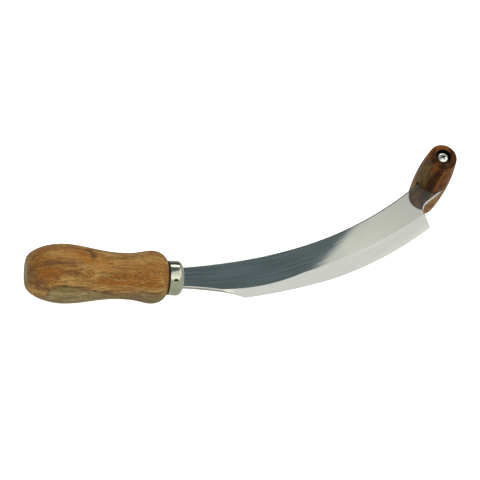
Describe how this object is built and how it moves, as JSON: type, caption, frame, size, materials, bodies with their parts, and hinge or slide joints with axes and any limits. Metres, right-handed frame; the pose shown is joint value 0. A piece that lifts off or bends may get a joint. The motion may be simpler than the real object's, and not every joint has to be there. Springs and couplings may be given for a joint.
{
  "type": "two-handled curved knife",
  "caption": "Two-handled knife: a curved polished blade between an in-line turned wooden handle with a metal ferrule and a short wooden cross handle held by a screw.",
  "frame": {"origin": "centre of the knife's bounding box, on the plane it lies on, which is the flat lower end of the cross handle", "axes": "+X along the main handle from its butt to the blade's tip, +Y from the cutting edge to the spine, +Z square to the blade, along the cross handle"},
  "size_m": [0.3012, 0.1194, 0.0645],
  "materials": {
    "handle_wood": "oiled, honey brown with grey-brown streaks",
    "ferrule_metal": "polished",
    "blade_steel": "polished almost to a mirror, faint lengthwise polishing lines",
    "adhesive": "cured adhesive, hidden",
    "cross_handle_wood": "oiled, dark red-brown with darker streaks",
    "screw_steel": "bright plated"
  },
  "bodies": {
    "root": {"main_handle": "handle_wood", "ferrule": "ferrule_metal", "blade": "blade_steel", "tang_adhesive": "adhesive", "cross_handle": "cross_handle_wood", "cross_handle_screw": "screw_steel"}
  },
  "joints": []
}
